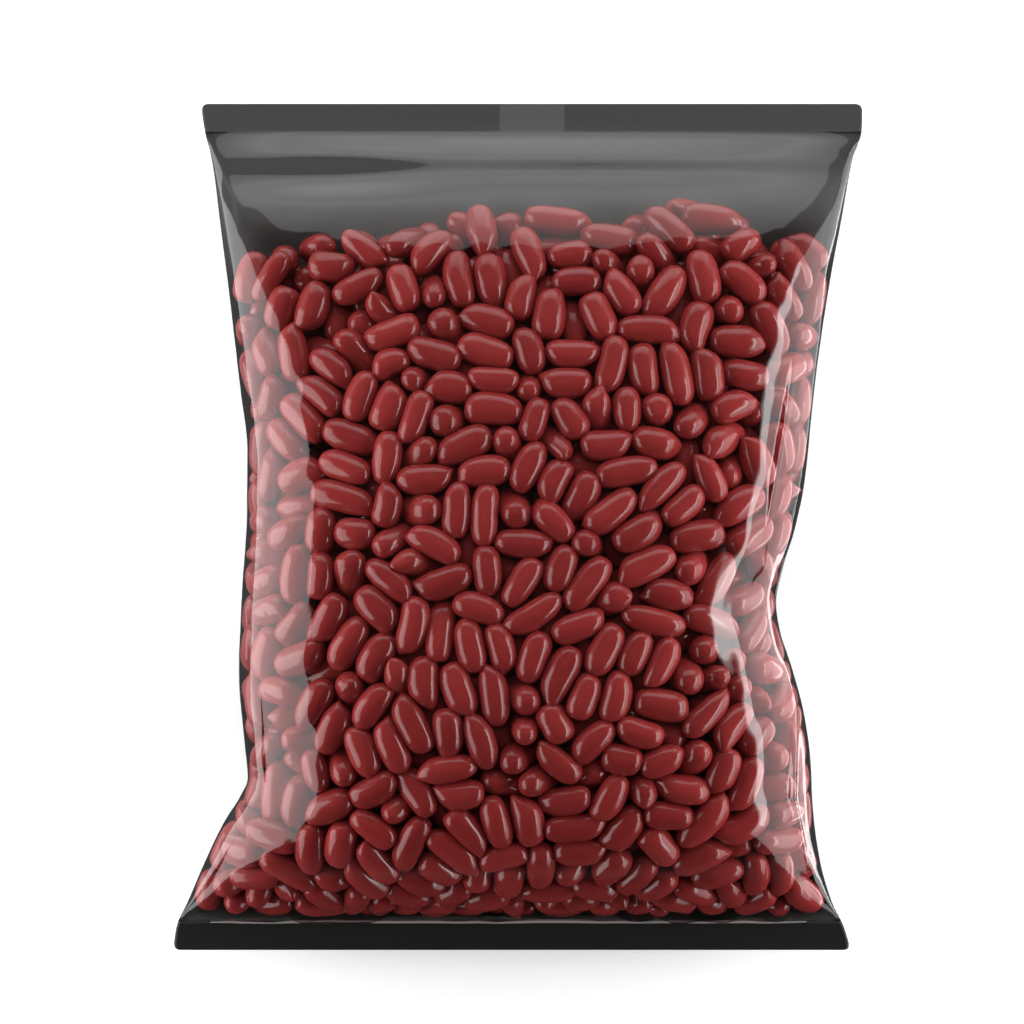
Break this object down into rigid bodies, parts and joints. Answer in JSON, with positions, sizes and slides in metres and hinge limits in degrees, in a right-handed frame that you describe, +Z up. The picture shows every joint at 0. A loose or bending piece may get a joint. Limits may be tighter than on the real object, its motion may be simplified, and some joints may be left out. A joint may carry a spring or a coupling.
{
  "type": "bag of dried beans",
  "caption": "Sealed clear pillow bag of glossy dark red dried beans, with flat dark end seals and a lap seam down its back, lying on its back.",
  "frame": {"origin": "middle of the footprint's box, on the surface that the bag lies on", "axes": "+Z up out of the clear front, +Y along the bag towards the top seal, +X to the right of the front"},
  "size_m": [0.1879, 0.231, 0.0583],
  "materials": {
    "filled_bag": "gloss film over red beans",
    "clear_film": "clear glossy film",
    "dark_film": "smoke black satin film",
    "bean_skin": "glossy dark red bean skin"
  },
  "bodies": {
    "root": {"bag": "filled_bag"}
  },
  "joints": []
}
